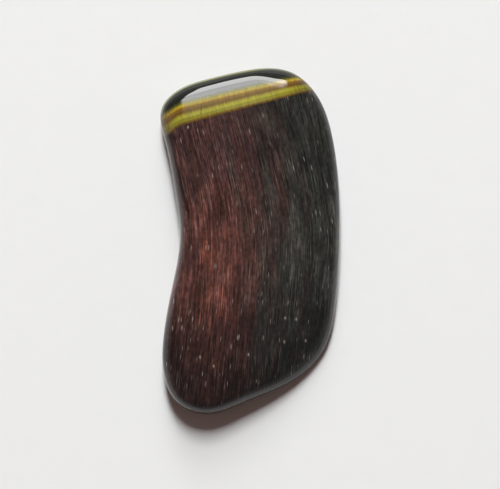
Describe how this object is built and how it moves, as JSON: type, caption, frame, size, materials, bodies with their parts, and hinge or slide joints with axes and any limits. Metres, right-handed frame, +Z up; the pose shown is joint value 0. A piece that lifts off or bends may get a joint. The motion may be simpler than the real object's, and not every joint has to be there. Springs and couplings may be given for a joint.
{
  "type": "polished hawk's eye pebble",
  "caption": "Small polished freeform hawk's eye pebble: a flat-backed, low-crowned bean of dark maroon and blue-black fibrous stone with a golden banded end.",
  "frame": {"origin": "on the ground back, under the middle of the pebble's box", "axes": "+Z up through the crown, +Y along the pebble towards the golden banded end, +X towards the full flank"},
  "size_m": [0.011, 0.0214, 0.0023],
  "materials": {
    "polished_stone": "high polish over dark silky fibres, maroon on the hollow side and blue-black on the full side, with golden and olive bands across one end"
  },
  "bodies": {
    "root": {"stone": "polished_stone"}
  },
  "joints": []
}
